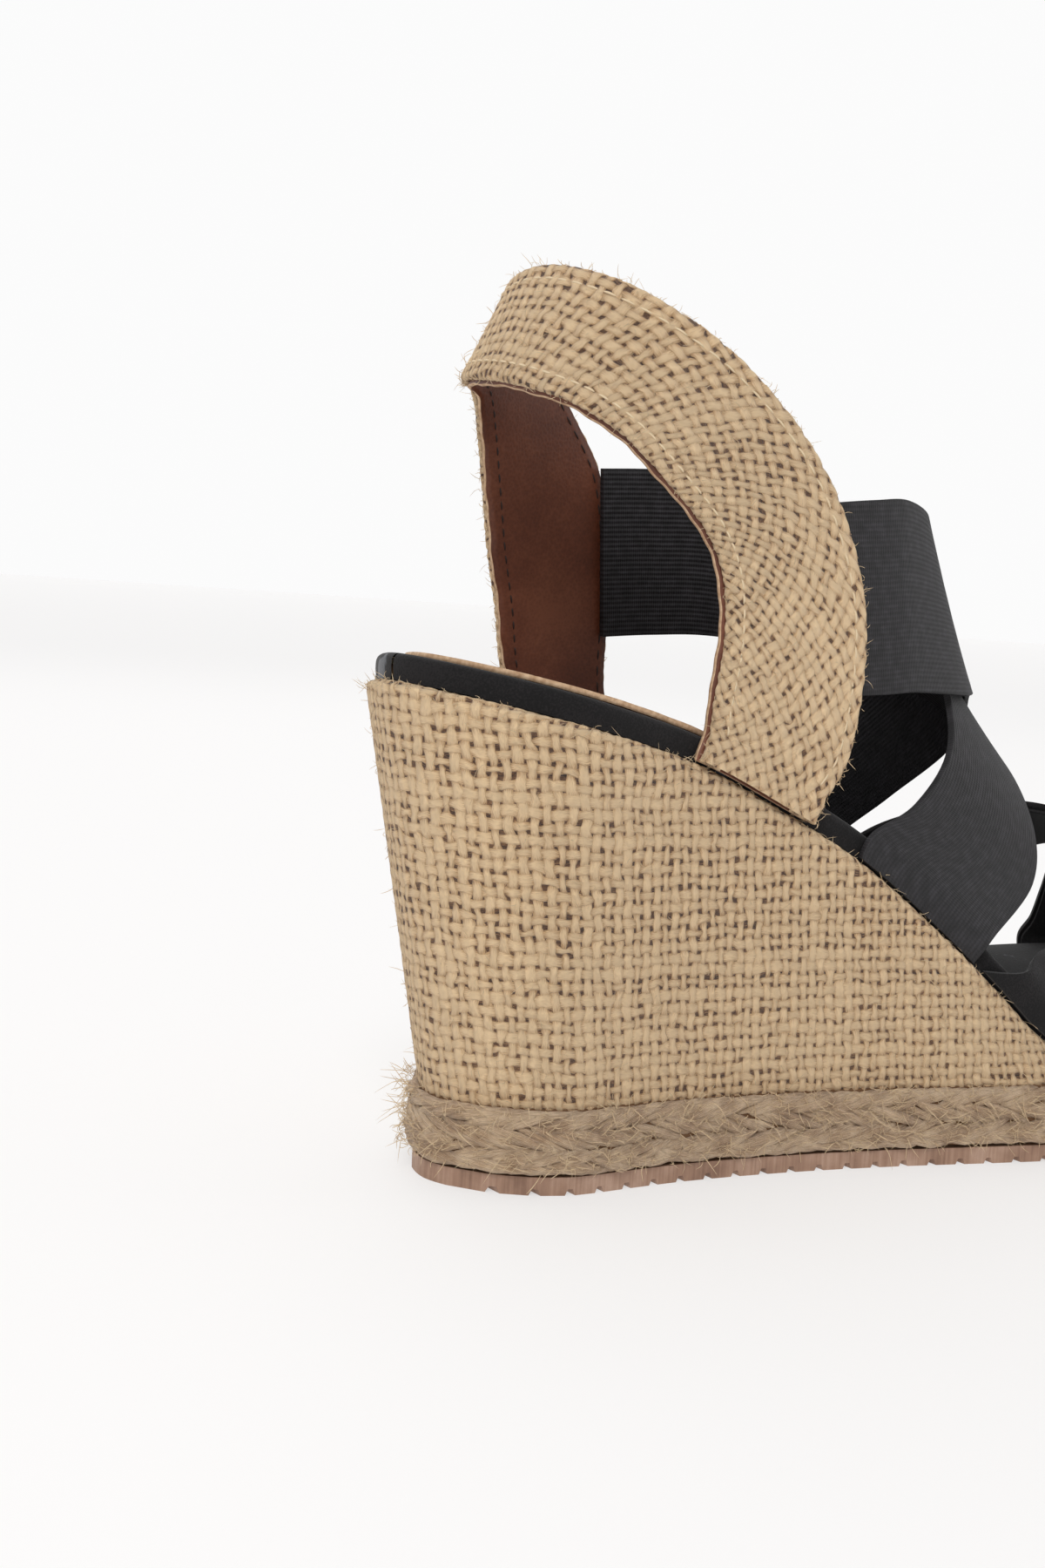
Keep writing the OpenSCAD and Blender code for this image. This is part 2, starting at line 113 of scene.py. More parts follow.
world = bpy.data.worlds.new("studio")
world.use_nodes = True
world.node_tree.nodes["Background"].inputs[0].default_value = linear("#fafafa")
world.node_tree.nodes["Background"].inputs[1].default_value = 0.55
bpy.context.scene.world = world
for name, spot, size, power in (("key", (-0.9, -1.0, 1.3), 0.6, 14), ("back", (0.5, 1.2, 1.2), 0.9, 3)):
    lamp = bpy.data.lights.new(name, "AREA")
    lamp.size = size
    lamp.energy = power
    holder = bpy.data.objects.new(name, lamp)
    aim = Vector((0.05, 0, 0.07)) - Vector(spot)
    holder.matrix_world = Matrix.Translation(spot) @ aim.to_track_quat("-Z", "Y").to_matrix().to_4x4()
    bpy.context.collection.objects.link(holder)

# ---- Outsole ----
# Moulded brown rubber with cross ribs, stuck under the platform. Its side keeps fine upright
# lines from the mould, and the ribs end in a row of lugs along the lower edge.


def add(tree, kind, inputs=None, stops=(), **settings):
    """A new node with its settings, and its inputs by name or number, as values or links.
    A colour ramp's stops are (place, hex colour)."""
    node = tree.nodes.new(kind)
    for name, value in settings.items():
        setattr(node, name, value)
    for name, value in (inputs or {}).items():
        if isinstance(value, bpy.types.Node):
            value = value.outputs[0]
        if isinstance(value, bpy.types.NodeSocket):
            tree.links.new(value, node.inputs[name])
        else:
            node.inputs[name].default_value = value
    if stops:
        while len(node.color_ramp.elements) < len(stops):
            node.color_ramp.elements.new(0.5)
        for element, (place, code) in zip(node.color_ramp.elements, stops):
            element.position = place
            element.color = linear(code)
    return node


MATH = "ShaderNodeMath"
# Moulded rubber is dull. The mould's fine lines are in its bump and also in its colour, where their faint
# light edge is a painted highlight.
rubber, tree, shader = finish_of("moulded_rubber", 0.62, IOR=1.52)
place = add(tree, "ShaderNodeTexCoord").outputs["Object"]
lines = add(tree, "ShaderNodeMapping", {0: place, "Scale": (1600, 1600, 40)})   # lines 0.6 mm apart
streaks = add(tree, "ShaderNodeTexNoise", {0: lines, "Scale": 1, "Detail": 2})
dust = add(tree, "ShaderNodeTexNoise", {0: place, "Scale": 120, "Detail": 5})
both = add(tree, MATH, {0: streaks, 1: 0.5, 2: dust}, operation="MULTIPLY_ADD")
# Painted highlight: the colour follows the mould's lines as well as the dust, lighter along their edges.
tone = add(tree, "ShaderNodeValToRGB", {0: both},
           stops=[(0.45, "#7a5b49"), (0.75, "#9b7a65"), (1.0, "#b59682")])
tree.links.new(tone.outputs[0], shader.inputs["Base Color"])
bump = add(tree, "ShaderNodeBump", {"Height": both, "Strength": 0.5, "Distance": 0.0002})
tree.links.new(bump.outputs[0], shader.inputs["Normal"])
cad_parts["outsole"].data.materials.clear()
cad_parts["outsole"].data.materials.append(rubber)

# ---- Jute braid ----
# Loosely twisted strands of jute, plaited into a band in low chevrons and glued round the
# platform. Each strand swells in the middle and dives under its neighbours at its ends.
# The braid and all above it follow outlines in millimetres. OUTER is the little toe's side.
OUTER, INNER = -1, 1
FOOT = {OUTER: [(-32, 20.5), (24, 20.5), (49, 23.3), (75, 28.7), (102, 36.2), (118, 41),
                (132, 42.8), (147, 43), (165, 41.4), (192, 37.4)],
        INNER: [(-32, 24), (0, 22.6), (24, 21.4), (49, 21.8), (70, 25), (90, 30.8), (109, 36),
                (132, 40.4), (150, 40.4), (165, 38.8), (192, 35.4)]}
FOOT_ENDS = (-16, 190.5, 23)      # x of heel and toe, and how far the heel's curve reaches
BRAID_TOP = 16.9
GAP = 0.2                         # between pieces that lie against each other


def along(points, x):
    """A smooth curve through (x, value) points."""
    i = 0
    while i + 2 < len(points) and x >= points[i + 1][0]:
        i += 1

    def rise(k):
        a, b = points[max(k - 1, 0)], points[min(k + 1, len(points) - 1)]
        return (b[1] - a[1]) / (b[0] - a[0])

    (x0, y0), (x1, y1) = points[i], points[i + 1]
    d = x1 - x0
    t = min(max((x - x0) / d, 0), 1)
    return (y0 * (2 * t**3 - 3 * t**2 + 1) + rise(i) * d * (t**3 - 2 * t**2 + t)
            + y1 * (3 * t**2 - 2 * t**3) + rise(i + 1) * d * (t**3 - t**2))


def rounded(d, r, n):
    return 1 if d >= r else max(1 - (1 - max(d, 0) / r) ** n, 0.0004) ** (1 / n)


def edge_y(sides, ends, side, x, out):
    """How far the outline lies from the middle plane at x, set outwards by out."""
    half = ((along(sides[side], x) + out) * rounded(x - ends[0] + out, ends[2] + out, 1.72)
            * rounded(ends[1] - x + out, 58 + out, 2.1))
    return side * half + 6 * (max(x - 130, 0) / 62) ** 2


def foot_point(side, f, out, z):
    """On the wedge's foot outline, f of the way from heel to toe."""
    x = (FOOT_ENDS[0] - out) * (1 - f) + (FOOT_ENDS[1] + out) * f
    return Vector((x, edge_y(FOOT, FOOT_ENDS, side, x, out), z + 7 * (max(x - 96, 0) / 96) ** 2))


def around(turn):
    """(side, f) for a turn of 0 to 1 round the shoe, from the toe by the inner side and heel."""
    side = INNER if turn < 0.5 else OUTER
    f = 1 - 2 * turn if turn < 0.5 else 2 * turn - 1
    return side, (1 - math.cos(math.pi * f)) / 2


def skin(name, columns, rows, place, cloth=None, wrap=False, smooth=True):
    """A sheet of columns by rows, each of its points put by place(s, t) in millimetres.
    cloth(s, t) gives the flat cloth's own coordinates, kept in the map named cloth."""
    bm = bmesh.new()
    bmesh.ops.create_grid(bm, x_segments=columns, y_segments=rows, size=0.5)
    where = {v: (round((v.co.x + 0.5) * columns) / columns, round((v.co.y + 0.5) * rows) / rows)
             for v in bm.verts}
    if cloth:
        layer = bm.loops.layers.uv.new("cloth")
        for face in bm.faces:
            for corner in face.loops:
                corner[layer].uv = cloth(*where[corner.vert])
    for v, (s, t) in where.items():
        v.co = place(s, t) / 1000
    if wrap:
        bmesh.ops.remove_doubles(bm, verts=bm.verts, dist=0.00001)
    for face in bm.faces:
        face.smooth = smooth
    mesh = bpy.data.meshes.new(name)
    bm.to_mesh(mesh)
    bm.free()
    return mesh


def show(name, mesh, materials, *replaced, body="shoe"):
    """A finished piece from its mesh, in place of its plain solids."""
    piece = bpy.data.objects.new(name, mesh)
    bpy.context.collection.objects.link(piece)
    for material in materials:
        mesh.materials.append(material)
    if replaced:
        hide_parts(*replaced)
    if body:
        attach(piece, body)
    return piece


# Jute fibre is dull and streaked along each strand. The dark where strands meet is painted shade, from the
# darker backing under them.
jute, tree, shader = finish_of("jute_fibre", 0.85, IOR=1.5)
shader.inputs["Sheen Weight"].default_value = 0.25
strand_map = add(tree, "ShaderNodeUVMap", uv_map="cloth")
stretch = add(tree, "ShaderNodeMapping", {0: strand_map, "Scale": (0.4, 7, 1)})  # fibres 0.15 mm wide
fibres = add(tree, "ShaderNodeTexNoise", {0: stretch, "Scale": 1, "Detail": 4, "Roughness": 0.7})
place = add(tree, "ShaderNodeTexCoord").outputs["Object"]
patches = add(tree, "ShaderNodeTexNoise", {0: place, "Scale": 220, "Detail": 2})
both = add(tree, MATH, {0: patches, 1: 0.45, 2: fibres}, operation="MULTIPLY_ADD")
tone = add(tree, "ShaderNodeValToRGB", {0: both},
           stops=[(0.46, "#5f4129"), (0.66, "#b59473"), (0.88, "#ead0ae")])
tree.links.new(tone.outputs[0], shader.inputs["Base Color"])
bump = add(tree, "ShaderNodeBump", {"Height": fibres, "Strength": 0.9, "Distance": 0.0006})
tree.links.new(bump.outputs[0], shader.inputs["Normal"])
chance = random.Random(11)


def paced(place, n):
    """Turns round the shoe at n equal steps of length along place(turn), and the whole length."""
    fine = [k / 1600 for k in range(1601)]
    points = [place(turn) for turn in fine]
    run = [0]
    for a, b in zip(points, points[1:]):
        run.append(run[-1] + (b - a).length)
    turns, k = [], 0
    for step in range(n + 1):
        aim = run[-1] * step / n
        while k < 1599 and run[k + 1] < aim:
            k += 1
        part = (aim - run[k]) / (run[k + 1] - run[k])
        turns.append(min(fine[k] + part / 1600, 1))
    return turns, run[-1]


class Bundle:
    """Many strands in one mesh, made a few at a time and then gathered."""

    def __init__(self, name):
        self.name, self.whole, self.part = name, bmesh.new(), bmesh.new()
        self.cloth = self.part.loops.layers.uv.new("cloth")

    def strand(self, path, thick, sides, rings, length):
        """A tapering round strand along path(a), a from 0 to 1."""
        ball = bmesh.ops.create_uvsphere(self.part, u_segments=sides, v_segments=rings, radius=1)
        local = {v: v.co.copy() for v in ball["verts"]}
        for v, p in local.items():
            a = (p.z + 1) / 2
            middle, ahead = path(a), path(a + 0.02) - path(a - 0.02)
            across = ahead.cross(Vector((0.1, 0.05, 1))).normalized()
            other = across.cross(ahead).normalized()
            v.co = (middle + (across * p.x + other * p.y) * thick) / 1000
        for face in {f for v in local for f in v.link_faces}:
            face.smooth = True
            angles = [math.atan2(local[c.vert].y, local[c.vert].x) for c in face.loops]
            for corner, angle in zip(face.loops, angles):
                if angle - max(angles) < -math.pi:
                    angle += 2 * math.pi
                corner[self.cloth].uv = (local[corner.vert].z * length / 2, angle * thick)
        if len(self.part.verts) > 1200:
            self.gather()

    def gather(self):
        few = bpy.data.meshes.new("few")
        self.part.to_mesh(few)
        self.whole.from_mesh(few)
        bpy.data.meshes.remove(few)
        self.part.free()
        self.part = bmesh.new()
        self.cloth = self.part.loops.layers.uv.new("cloth")

    def mesh(self):
        self.gather()
        mesh = bpy.data.meshes.new(self.name)
        self.whole.to_mesh(mesh)
        return mesh


braid_turns, braid_run = paced(lambda turn: foot_point(*around(turn), 2, 10), 800)


def braid_place(p, out, z):
    """A place in the braid, p millimetres round the shoe."""
    k = (p / braid_run % 1) * 800
    i = int(k)
    turn = braid_turns[i] + (braid_turns[i + 1] - braid_turns[i]) * (k - i)
    return foot_point(*around(turn), out, z)


plait = Bundle("braid_strands")
PLAITS = 150                      # strands in one row, about 3.6 mm apart
for row, (z, rise) in enumerate(((14.6, 2.3), (10.9, -2.5), (7.4, 2.3), (5.3, -1.4))):
    for k in range(PLAITS):
        p = (k + 0.5 * (row % 2) + chance.uniform(-0.12, 0.12)) * braid_run / PLAITS
        tilt = rise + chance.uniform(-0.7, 0.7)
        high = z + chance.uniform(-0.4, 0.4)
        half_length = chance.uniform(6.2, 8)
        swell = chance.uniform(0.5, 1.5)

        def path(a, p=p, tilt=tilt, high=high, half_length=half_length, swell=swell):
            b = 2 * a - 1
            return braid_place(p + b * half_length, swell - 1.3 * b * b * (b > 0),
                               min(max(high + tilt * b, 4.9), 15.4))

        plait.strand(path, chance.uniform(0.85, 1.25), 7, 9, 2 * half_length)
show("braid_strands", plait.mesh(), [jute])

# Painted shade: the glued backing under the strands is a darker brown than the jute, so that the gaps
# between the strands show dark.
under, tree, shader = finish_of("jute_backing_painted_shade", 0.95)
shader.inputs["Base Color"].default_value = linear("#6b4e35")
turns, _ = paced(lambda turn: foot_point(*around(turn), 0, 10), 160)
show("braid_backing", skin(
    "braid_backing", 160, 4,
    lambda s, t: foot_point(*around(turns[round(s * 160)]), 1 if 0 < t < 1 else 0, 4 + 12.4 * t),
    wrap=True), [under], "jute_braid")

# ---- Wedge cover ----
# Open plain weave of thick flat jute yarns, stretched round the wedge, its lower edge under the
# braid and its upper edge turned in under the insole.
TOP_EDGE = [(-32, 94.4), (0, 87.2), (18, 82.6), (33, 76.8), (60, 63.8), (84, 47.1), (98, 35.7),
            (109, 26.4), (118, 22.6), (128, 21.6), (145, 22.6), (165, 24.9), (192, 28)]
TOP = {OUTER: [(-32, 30.4), (33, 29.8), (60, 32), (84, 35.3), (109, 39.7), (128, 43), (145, 43.8),
               (165, 42), (192, 38)],
       INNER: [(-32, 33.4), (-10, 32.8), (15, 31.4), (45, 29.4), (62, 29.8), (84, 32.6),
               (109, 37.6), (132, 41), (150, 41), (165, 39.4), (192, 36)]}
TOP_ENDS = (-32, 192, 32.8)
YARN_ROUND, YARN_UP = 2.27, 2.57  # millimetres from yarn to yarn


def top_z(x):
    return along(TOP_EDGE, x)


def grade(x):
    return (top_z(x + 1) - top_z(x - 1)) / 2


def top_point(side, f, out, high):
    """On the wedge's top outline, at a height measured across the slope there."""
    x = (TOP_ENDS[0] - out) * (1 - f) + (TOP_ENDS[1] + out) * f
    return Vector((x, edge_y(TOP, TOP_ENDS, side, x, out), top_z(x) + high * math.hypot(1, grade(x))))


# Woven jute is matt, with fine streaks along every yarn. Its colour is painted lighter on the yarns'
# raised crowns and dark in the gaps between them, as painted light and shade.
burlap, tree, shader = finish_of("jute_burlap", 0.88, IOR=1.5)
shader.inputs["Sheen Weight"].default_value = 0.2


cloth_map = add(tree, "ShaderNodeUVMap", uv_map="cloth").outputs[0]
drift = add(tree, "ShaderNodeTexNoise", {0: cloth_map, "Scale": 0.16, "Detail": 3})
shift = add(tree, "ShaderNodeVectorMath", {0: drift.outputs["Color"], 1: (0.5, 0.5, 0.5)},
            operation="SUBTRACT")
moved = add(tree, "ShaderNodeVectorMath", {0: shift, 1: (2.6, 2.6, 0), 2: cloth_map},
            operation="MULTIPLY_ADD")
parts = add(tree, "ShaderNodeSeparateXYZ", {0: moved})
U = add(tree, MATH, {0: parts, 1: YARN_ROUND}, operation="DIVIDE")
V = add(tree, MATH, {0: parts.outputs[1], 1: YARN_UP}, operation="DIVIDE")
thickness = add(tree, "ShaderNodeTexNoise", {0: cloth_map, "Scale": 0.3, "Detail": 2})


def yarn(tree, own, other, sign, salt):
    """Height of the yarns that lie across own, and each yarn's own tone."""
    number = add(tree, MATH, {0: own}, operation="FLOOR")
    seed = add(tree, MATH, {0: number, 1: salt}, operation="ADD")
    tone = add(tree, "ShaderNodeTexWhiteNoise", {"W": seed}, noise_dimensions="1D")
    tone = tone.outputs["Value"]
    part = add(tree, MATH, {0: own}, operation="FRACT")
    centre = add(tree, MATH, {0: part, 1: 0.5}, operation="SUBTRACT")
    width = add(tree, MATH, {0: thickness, 1: 0.75, 2: -0.03}, operation="MULTIPLY_ADD")
    width = add(tree, MATH, {0: tone, 1: 0.14, 2: width}, operation="MULTIPLY_ADD")
    place = add(tree, MATH, {0: centre, 1: width}, operation="DIVIDE")
    square = add(tree, MATH, {0: place, 1: place}, operation="MULTIPLY")
    left = add(tree, MATH, {0: 1, 1: square}, operation="SUBTRACT")
    left = add(tree, MATH, {0: left, 1: 0}, operation="MAXIMUM")
    round_top = add(tree, MATH, {0: left}, operation="SQRT")
    step = add(tree, MATH, {0: other, 1: 0.5}, operation="SUBTRACT")
    angle = add(tree, MATH, {0: step, 1: math.pi}, operation="MULTIPLY")
    wave = add(tree, MATH, {0: angle}, operation="COSINE")
    turns = add(tree, MATH, {0: number, 1: math.pi}, operation="MULTIPLY")
    parity = add(tree, MATH, {0: turns}, operation="COSINE")
    over = add(tree, MATH, {0: wave, 1: parity}, operation="MULTIPLY")
    over = add(tree, MATH, {0: over, 1: 0.5 * sign, 2: 1}, operation="MULTIPLY_ADD")
    return add(tree, MATH, {0: round_top, 1: over}, operation="MULTIPLY"), tone


upright_h, upright_tone = yarn(tree, U, V, 1, 3.7)
level_h, level_tone = yarn(tree, V, U, -1, 91.3)
high = add(tree, MATH, {0: upright_h, 1: level_h}, operation="MAXIMUM")
on_top = add(tree, MATH, {0: upright_h, 1: level_h}, operation="GREATER_THAN")
along_up = add(tree, "ShaderNodeMapping", {0: moved, "Scale": (8, 0.6, 1), "Rotation": (0, 0, 0.2)})
along_round = add(tree, "ShaderNodeMapping", {0: moved, "Scale": (0.6, 8, 1), "Rotation": (0, 0, 0.2)})
fibre_up = add(tree, "ShaderNodeTexNoise", {0: along_up, "Scale": 1, "Detail": 4, "Roughness": 0.7})
fibre_round = add(tree, "ShaderNodeTexNoise", {0: along_round, "Scale": 1, "Detail": 4, "Roughness": 0.7})
fibres = add(tree, "ShaderNodeMix", {0: on_top, 2: fibre_round, 3: fibre_up}).outputs[0]
own_tone = add(tree, "ShaderNodeMix", {0: on_top, 2: level_tone, 3: upright_tone}).outputs[0]
# Painted light and shade: the weave's height lightens the colour on each yarn's crown and darkens it on
# its sides and in the gaps, down to a very dark brown.
weave_shade_and_tone = add(tree, MATH, {0: high, 1: 0.42}, operation="MULTIPLY")
weave_shade_and_tone = add(tree, MATH, {0: own_tone, 1: 0.12, 2: weave_shade_and_tone}, operation="MULTIPLY_ADD")
weave_shade_and_tone = add(tree, MATH, {0: fibres, 1: 1.15, 2: weave_shade_and_tone}, operation="MULTIPLY_ADD")
weave_shade_and_tone = add(tree, MATH, {0: weave_shade_and_tone, 1: 0.3}, operation="SUBTRACT")
tone = add(tree, "ShaderNodeValToRGB", {0: weave_shade_and_tone},
           stops=[(0.2, "#2a1608"), (0.38, "#7c5230"), (0.55, "#d0a677"), (0.85, "#fddcae")])
tree.links.new(tone.outputs[0], shader.inputs["Base Color"])
relief = add(tree, MATH, {0: fibres, 1: 0.9, 2: high}, operation="MULTIPLY_ADD")
bump = add(tree, "ShaderNodeBump", {"Height": relief, "Strength": 1, "Distance": 0.0007})
tree.links.new(bump.outputs[0], shader.inputs["Normal"])


def weave_height(u, v):
    """Height of the weave, 0 to 1.5, at a place in the cloth."""
    u, v = u / YARN_ROUND, v / YARN_UP
    high = 0
    for own, other, sign in ((u, v, 1), (v, u, -1)):
        number = math.floor(own)
        c = (own - number - 0.5) / 0.43
        over = 1 + 0.5 * sign * math.cos(math.pi * (other - 0.5)) * (-1) ** number
        high = max(high, math.sqrt(max(0, 1 - c * c)) * over)
    return high


WALL_LOW = BRAID_TOP + GAP / 2
_, cover_run = paced(lambda turn: foot_point(*around(turn), 0, WALL_LOW).lerp(
    top_point(*around(turn), 0, 0), 0.5), 10)
YARNS = 2 * round(cover_run / YARN_ROUND / 2)
COVER_COLUMNS, COVER_ROWS = 3 * YARNS, 64
cover_turns, _ = paced(lambda turn: foot_point(*around(turn), 0, WALL_LOW).lerp(
    top_point(*around(turn), 0, 0), 0.5), COVER_COLUMNS)
FOLD = 2.2                        # radius of the turned edge
WALL, CURVE = 0.8, 0.15           # parts of the rows on the wall and on the turned edge
TUCK = 50                         # how fast the rows left over go in under the insole
RELIEF = 0.28                     # how far the yarns stand out


def cover_column(i):
    side, f = around(cover_turns[i])
    low = foot_point(side, f, 0, WALL_LOW - 1)
    high = top_point(side, f, 0, -GAP / 2)
    inward = top_point(side, f, -1, -GAP / 2) - high
    return low, high, (low - high).normalized(), inward.normalized() if inward.length else inward


cover_columns = [cover_column(i) for i in range(COVER_COLUMNS + 1)]


def cover_place(s, t):
    low, high, down, inward = cover_columns[round(s * COVER_COLUMNS)]
    outward = -inward
    if t <= WALL:
        point = low.lerp(high + down * FOLD, t / WALL)
    else:
        angle = min((t - WALL) / CURVE, 1) * math.pi / 2
        outward = -inward * math.cos(angle) - down * math.sin(angle)
        point = (high + inward * FOLD * (1 - math.cos(angle)) + down * FOLD * (1 - math.sin(angle))
                 + inward * max(t - WALL - CURVE, 0) * TUCK)
    rough = weave_height(*cover_cloth(s, t)) - 0.8
    return point + outward * RELIEF * rough


def cover_cloth(s, t):
    low, high, _, _ = cover_columns[round(s * COVER_COLUMNS)]
    wall = (low - high).length - FOLD
    v = wall * t / WALL if t <= WALL else wall + (t - WALL) / CURVE * FOLD * 1.57
    return s * YARNS * YARN_ROUND, v


cover = show("burlap_cover", skin("burlap_cover", COVER_COLUMNS, COVER_ROWS, cover_place,
                                  cover_cloth, wrap=True), [burlap], "wedge_cover")

# ---- Foam cores ----
# Light closed-cell foam, cut to shape: the platform's layer inside the braid, the wedge inside
# its burlap, and the thin sheet on the insole board. Foam is matt and pale, with small cells.
foam, tree, shader = finish_of("closed_cell_foam", 0.8)
place = add(tree, "ShaderNodeTexCoord").outputs["Object"]
cells = add(tree, "ShaderNodeTexVoronoi", {0: place, "Scale": 900})   # cells about 1 mm
tone = add(tree, "ShaderNodeValToRGB", {0: cells},
           stops=[(0, "#b9a685"), (0.6, "#d9c8a4")])
tree.links.new(tone.outputs[0], shader.inputs["Base Color"])
for name in ("platform_core", "wedge_core", "footbed_foam"):
    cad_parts[name].data.materials.clear()
    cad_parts[name].data.materials.append(foam)

# ---- Insole board, shank, nails and tacks ----
# Pressed fibre board on the wedge, stiffened by a steel shank, nailed at the heel and tacked over
# the turned edges of the upper. The suede hides them all.
# Pressed board is matt and mottled brown.
fibre, tree, shader = finish_of("pressed_fibre_board", 0.85)
place = add(tree, "ShaderNodeTexCoord").outputs["Object"]
grain = add(tree, "ShaderNodeTexNoise", {0: place, "Scale": 700, "Detail": 4})
tone = add(tree, "ShaderNodeValToRGB", {0: grain},
           stops=[(0.35, "#6f4e30"), (0.7, "#9c774f")])
tree.links.new(tone.outputs[0], shader.inputs["Base Color"])
# Bare steel, dulled by handling.
steel, tree, shader = finish_of("mild_steel", 0.38, Metallic=1)
place = add(tree, "ShaderNodeTexCoord").outputs["Object"]
grain = add(tree, "ShaderNodeTexNoise", {0: place, "Scale": 400, "Detail": 3})
tone = add(tree, "ShaderNodeValToRGB", {0: grain},
           stops=[(0.3, "#9a9a98"), (0.7, "#b8b8b6")])
tree.links.new(tone.outputs[0], shader.inputs["Base Color"])
for name, material in (("insole_board", fibre), ("shank", steel), ("heel_nails", steel),
                       ("lasting_tacks", steel)):
    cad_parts[name].data.materials.clear()
    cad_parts[name].data.materials.append(material)

# ---- Insole cover ----
# Black suede drawn over the board and a thin foam, its edge rounded and wrapped down to the
# wedge, with a smear of dried glue low on the side.
# Suede takes nearly all light; its nap gives a soft edge. The dried glue on it is smoother.
suede, tree, shader = finish_of("black_suede", 0.95, IOR=1.45)
shader.inputs["Sheen Weight"].default_value = 0.12
shader.inputs["Sheen Roughness"].default_value = 0.4
place = add(tree, "ShaderNodeTexCoord").outputs["Object"]
nap = add(tree, "ShaderNodeTexNoise", {0: place, "Scale": 2600, "Detail": 3})     # nap 0.4 mm
brushed = add(tree, "ShaderNodeTexNoise", {0: place, "Scale": 70, "Detail": 3})
both = add(tree, MATH, {0: brushed, 1: 0.8, 2: nap}, operation="MULTIPLY_ADD")
tone = add(tree, "ShaderNodeValToRGB", {0: both},
           stops=[(0.6, "#060505"), (0.9, "#0d0b0c"), (1.0, "#191617")])
smear = add(tree, "ShaderNodeTexNoise", {0: place, "Scale": 95, "Detail": 4})
glue = add(tree, "ShaderNodeValToRGB", {0: smear},
           stops=[(0.66, "#000000"), (0.7, "#ffffff")])
stained = add(tree, "ShaderNodeMix", {0: glue, 6: tone, 7: linear("#33363d")}, data_type="RGBA")
tree.links.new(stained.outputs[2], shader.inputs["Base Color"])
gloss = add(tree, MATH, {0: glue, 1: -0.5, 2: 0.95}, operation="MULTIPLY_ADD")
tree.links.new(gloss.outputs[0], shader.inputs["Roughness"])
bump = add(tree, "ShaderNodeBump", {"Height": nap, "Strength": 0.35, "Distance": 0.0003})
tree.links.new(bump.outputs[0], shader.inputs["Normal"])
INSOLE_HIGH, INSOLE_SET = 5.2, 1.8
ROUND = 1.9                       # radius of its edge
EDGE = ([(0, 0.1), (-0.15, 1.2), (0, 2.2)]
        + [(-ROUND * (1 - math.cos(a)), INSOLE_HIGH - ROUND * (1 - math.sin(a)))
           for a in (math.pi / 2 * k / 6 for k in range(7))])
LAST = len(EDGE) - 1


def insole_place(s, t):
    j = round(t * (2 * LAST + 6))
    f = (1 - math.cos(math.pi * s)) / 2
    if j <= LAST or j >= LAST + 6:
        side = OUTER if j <= LAST else INNER
        out, high = EDGE[j if j <= LAST else 2 * LAST + 6 - j]
        return top_point(side, f, out - INSOLE_SET, high)
    sides = [top_point(side, f, EDGE[-1][0] - INSOLE_SET, EDGE[-1][1]) for side in (OUTER, INNER)]
    return sides[0].lerp(sides[1], (j - LAST) / 6)


show("suede_insole", skin("suede_insole", 120, 2 * LAST + 6, insole_place), [suede],
              "sock_lining")

# ---- Heel pad ----
# A thin leather pad under the heel, its edge cut by hand and left raw and pale.
# Smooth lining leather has a low shine, fine pores and a slightly clouded colour.
leather, tree, shader = finish_of("brown_lining_leather", 0.5, IOR=1.5)
place = add(tree, "ShaderNodeTexCoord").outputs["Object"]
pores = add(tree, "ShaderNodeTexVoronoi", {0: place, "Scale": 1500})             # grain 0.7 mm
cloud = add(tree, "ShaderNodeTexNoise", {0: place, "Scale": 60, "Detail": 4})
both = add(tree, MATH, {0: pores, 1: 0.25, 2: cloud}, operation="MULTIPLY_ADD")
tone = add(tree, "ShaderNodeValToRGB", {0: both},
           stops=[(0.4, "#542b19"), (0.65, "#6b3a24"), (0.9, "#7f4b32")])
tree.links.new(tone.outputs[0], shader.inputs["Base Color"])
bump = add(tree, "ShaderNodeBump", {"Height": pores, "Strength": 0.25, "Distance": 0.0002})
tree.links.new(bump.outputs[0], shader.inputs["Normal"])
# Where it is cut, undyed fibre shows pale and matt.
raw_edge, tree, shader = finish_of("raw_leather_edge", 0.85)
place = add(tree, "ShaderNodeTexCoord").outputs["Object"]
grain = add(tree, "ShaderNodeTexNoise", {0: place, "Scale": 900, "Detail": 3})
tone = add(tree, "ShaderNodeValToRGB", {0: grain},
           stops=[(0.3, "#a98463"), (0.7, "#d6b795")])
tree.links.new(tone.outputs[0], shader.inputs["Base Color"])


def thicken(piece, thickness, offset=-1, round_by=0, rim=0, steps=2):
    """Gives a sheet its thickness in millimetres, and rounds its edges."""
    wall = piece.modifiers.new("wall", "SOLIDIFY")
    wall.thickness = thickness / 1000
    wall.offset = offset
    wall.use_even_offset = True
    wall.material_offset_rim = rim
    if round_by:
        rounding = piece.modifiers.new("rounding", "BEVEL")
        rounding.width = round_by / 1000
        rounding.segments = steps
        rounding.angle_limit = math.radians(50)
        rounding.limit_method = "ANGLE"
        rounding.use_clamp_overlap = True


def pad_place(s, t):
    f = (1 - math.cos(math.pi * s)) / 2
    x = -24 * (1 - f) + 52 * f
    c = rounded(52 - x, 24, 2) * rounded(x + 24, 24, 1.72)
    wave = 1 + 0.012 * math.sin(x / 3.1) + 0.008 * math.sin(x / 1.3)
    ends = [edge_y(TOP, TOP_ENDS, side, max(x, 0), -4.2) * c * wave for side in (OUTER, INNER)]
    return Vector((x, ends[0] * (1 - t) + ends[1] * t,
                   top_z(x) + (INSOLE_HIGH + GAP) * math.hypot(1, grade(x))))


